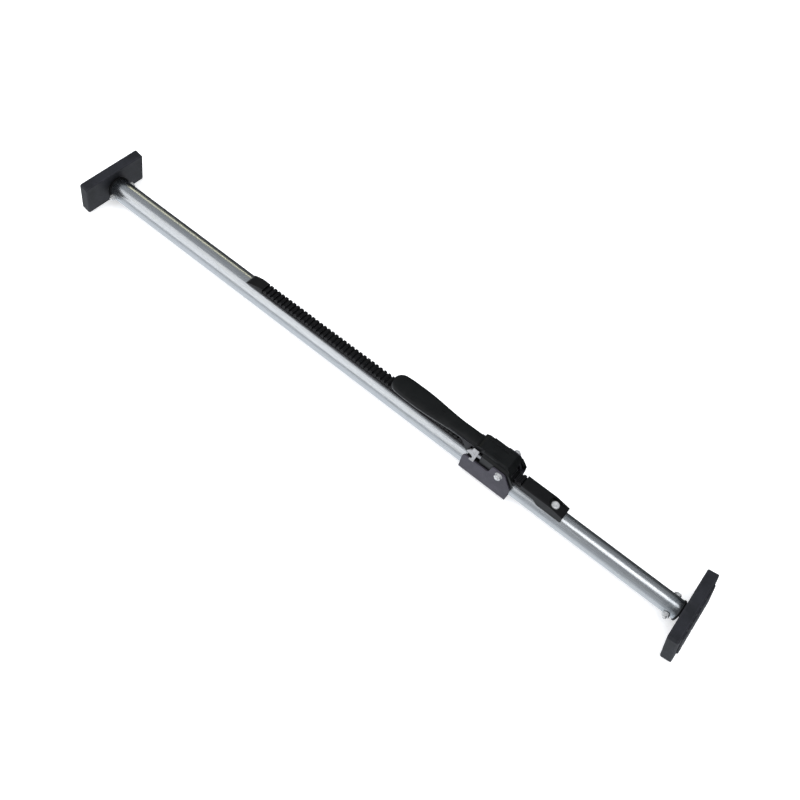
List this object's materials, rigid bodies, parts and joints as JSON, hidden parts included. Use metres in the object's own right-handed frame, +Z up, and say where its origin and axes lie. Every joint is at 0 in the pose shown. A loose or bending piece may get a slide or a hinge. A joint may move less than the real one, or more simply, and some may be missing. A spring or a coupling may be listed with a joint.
{
  "type": "ratcheting cargo bar",
  "caption": "Telescoping ratcheting bar for a truck bed: sliding tube with toothed rack, pump lever with pawls, and a swivelling rubber pad on each end.",
  "frame": {"origin": "on the floor midway between the two pad pivots, under the tube axis", "axes": "+X along the bar from the outer tube's pad to the inner tube's pad, +Y across it away from the lift tab's side, +Z up through the lever"},
  "size_m": [1.0252, 0.104, 0.0729],
  "materials": {
    "galvanised_tube": "bright galvanised, drawn seam tube with a soft sheen",
    "grey_bracket": "satin dark grey coating",
    "dark_steel": "black oxide",
    "zinc_fastener": "bright zinc plate",
    "bright_zinc": "bright zinc plate, stamped edges",
    "black_nylon": "moulded black nylon, satin",
    "lever_plastic": "moulded black plastic, fine texture",
    "pad_rubber": "matte black rubber"
  },
  "bodies": {
    "outer_bar": {"outer_tube": "galvanised_tube", "tube_bush": "black_nylon", "ratchet_bracket": "grey_bracket", "bracket_rivets": "zinc_fastener", "rack_guide": "black_nylon", "pivot_shoulder_bolts": "zinc_fastener", "pivot_washers": "zinc_fastener", "pivot_nuts": "zinc_fastener", "far_pad_bolt": "zinc_fastener", "far_pad_nut": "zinc_fastener"},
    "inner_bar": {"inner_tube": "galvanised_tube", "glide_plug": "black_nylon", "rack_strip": "black_nylon", "rack_end_block": "black_nylon", "rack_rivet": "zinc_fastener", "near_pad_bolt": "zinc_fastener", "near_pad_nut": "zinc_fastener"},
    "far_pad": {"far_pad_rubber": "pad_rubber", "far_pad_stem": "black_nylon"},
    "near_pad": {"near_pad_rubber": "pad_rubber", "near_pad_stem": "black_nylon"},
    "lever": {"lever_frame": "dark_steel", "lever_grip": "lever_plastic", "grip_screws": "zinc_fastener", "lever_head_cover": "lever_plastic", "drive_pawl_pin": "zinc_fastener", "drive_pawl_spring": "bright_zinc"},
    "drive_pawl": {"drive_pawl": "dark_steel"},
    "holding_pawl": {"holding_pawl": "bright_zinc", "holding_pawl_spring": "bright_zinc"}
  },
  "joints": [
    {"name": "bar_slide", "type": "slide", "parent": "outer_bar", "child": "inner_bar", "axis": [1, 0, 0], "range_m": [0, 0.336]},
    {"name": "lever_pivot", "type": "hinge", "parent": "outer_bar", "child": "lever", "pos_m": [0.229, 0, 0.05689], "axis": [0, 1, 0], "range_deg": [0, 48]},
    {"name": "drive_pawl_pivot", "type": "hinge", "parent": "lever", "child": "drive_pawl", "pos_m": [0.22, 0, 0.05689], "axis": [0, 1, 0], "range_deg": [-48, 0]},
    {"name": "holding_pawl_pivot", "type": "hinge", "parent": "outer_bar", "child": "holding_pawl", "pos_m": [0.229, 0, 0.05689], "axis": [0, 1, 0], "range_deg": [0, 6], "stiffness_Nm_per_rad": 0.4, "springref_deg": -8.59},
    {"name": "far_pad_swivel", "type": "hinge", "parent": "outer_bar", "child": "far_pad", "pos_m": [-0.477, 0, 0.02339], "axis": [0, 1, 0], "range_deg": [-30, 0]},
    {"name": "near_pad_swivel", "type": "hinge", "parent": "inner_bar", "child": "near_pad", "pos_m": [0.477, 0, 0.02339], "axis": [0, 1, 0], "range_deg": [0, 30]}
  ],
  "couplings": [
    {"joint": "drive_pawl_pivot", "follows": "lever_pivot", "ratio": -1}
  ]
}
